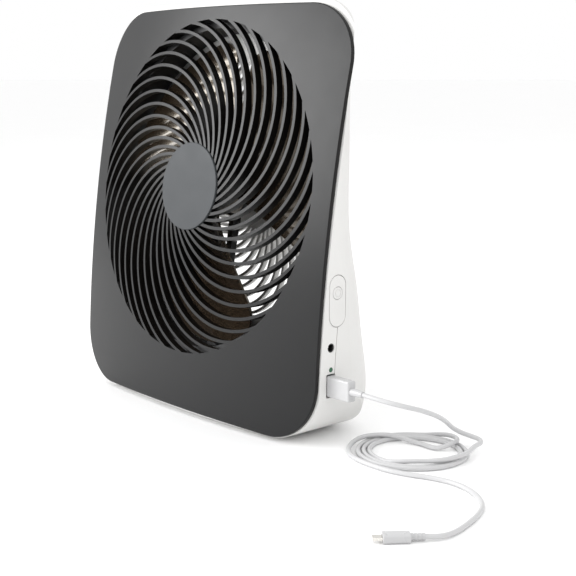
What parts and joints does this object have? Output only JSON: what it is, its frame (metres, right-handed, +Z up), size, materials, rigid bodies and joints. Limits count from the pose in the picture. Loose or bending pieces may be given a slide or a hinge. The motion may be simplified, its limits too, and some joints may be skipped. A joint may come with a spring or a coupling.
{
  "type": "box fan",
  "caption": "Portable box fan: domed spiral-rib front on a wedge housing with a back guard, side controls and a charging lead.",
  "frame": {"origin": "on the table, under the middle of the fan without its charging lead", "axes": "+Z up; +Y from the front grille towards the back; +X to the right when facing the grille"},
  "size_m": [0.4828, 0.1908, 0.3314],
  "materials": {
    "front_plastic": "satin, fine texture",
    "badge_plastic": "satin",
    "housing_plastic": "satin, warm light grey",
    "blade_plastic": "glossy smoke brown",
    "inner_plastic": "satin black",
    "control_plastic": "satin",
    "steel": "plain",
    "zinc": "zinc plated",
    "bronze": "sintered",
    "magnet": "dull",
    "copper": "enamelled",
    "carbon": "dull",
    "board": "coated",
    "contact_metal": "nickel plated",
    "cell_wrap": "plain wrap",
    "led_green": "clear green",
    "cord_white": "semi-gloss",
    "wire_insulation": "dark insulation",
    "foot_rubber": "matt"
  },
  "bodies": {
    "fan": {"front_grille": "front_plastic", "hub_badge": "badge_plastic", "front_housing": "housing_plastic", "rear_housing": "housing_plastic", "rear_guard": "housing_plastic", "shroud": "inner_plastic", "motor_mount": "inner_plastic", "motor_can": "zinc", "motor_end_cap": "inner_plastic", "motor_front_bush": "bronze", "motor_rear_bush": "bronze", "motor_magnets": "magnet", "motor_brushes": "carbon", "button_pad": "control_plastic", "control_board": "board", "tact_switch": "inner_plastic", "status_led": "contact_metal", "led_lens": "led_green", "dc_jack": "inner_plastic", "dc_jack_pin": "contact_metal", "usb_socket_shell": "contact_metal", "usb_socket_tongue": "inner_plastic", "battery_tray": "inner_plastic", "battery_cells": "cell_wrap", "battery_contacts": "contact_metal", "motor_lead": "wire_insulation", "battery_lead": "wire_insulation", "feet": "foot_rubber", "grille_screws": "zinc", "shroud_screws": "zinc", "mount_screws": "zinc", "motor_screws": "zinc", "housing_screws": "zinc", "board_screws": "zinc"},
    "rotor": {"impeller": "blade_plastic", "impeller_nut": "inner_plastic", "motor_shaft": "steel", "motor_armature": "steel", "motor_windings": "copper", "motor_commutator": "copper"},
    "power_button": {"power_button": "control_plastic"},
    "battery_door": {"battery_door": "housing_plastic"},
    "usb_cable": {"usb_plug_shell": "contact_metal", "usb_plug_core": "cord_white", "usb_plug_grip": "cord_white", "usb_plug_relief": "cord_white", "usb_lead": "cord_white", "usb_coil": "cord_white", "usb_tail": "cord_white", "connector_relief": "cord_white", "connector_grip": "cord_white", "connector_tip": "contact_metal"}
  },
  "joints": [
    {"name": "rotor_spin", "type": "hinge", "parent": "fan", "child": "rotor", "pos_m": [0, -0.0323, 0.186], "axis": [0, -0.9882, 0.153], "continuous": true},
    {"name": "power_button_press", "type": "slide", "parent": "fan", "child": "power_button", "axis": [-1, 0, 0], "range_m": [0, 0.0006], "stiffness_N_per_m": 400},
    {"name": "battery_door_off", "type": "slide", "parent": "fan", "child": "battery_door", "axis": [0, 1, 0], "range_m": [0, 0.03]},
    {"name": "usb_unplug", "type": "slide", "parent": "fan", "child": "usb_cable", "axis": [1, 0, 0], "range_m": [0, 0.015]}
  ]
}
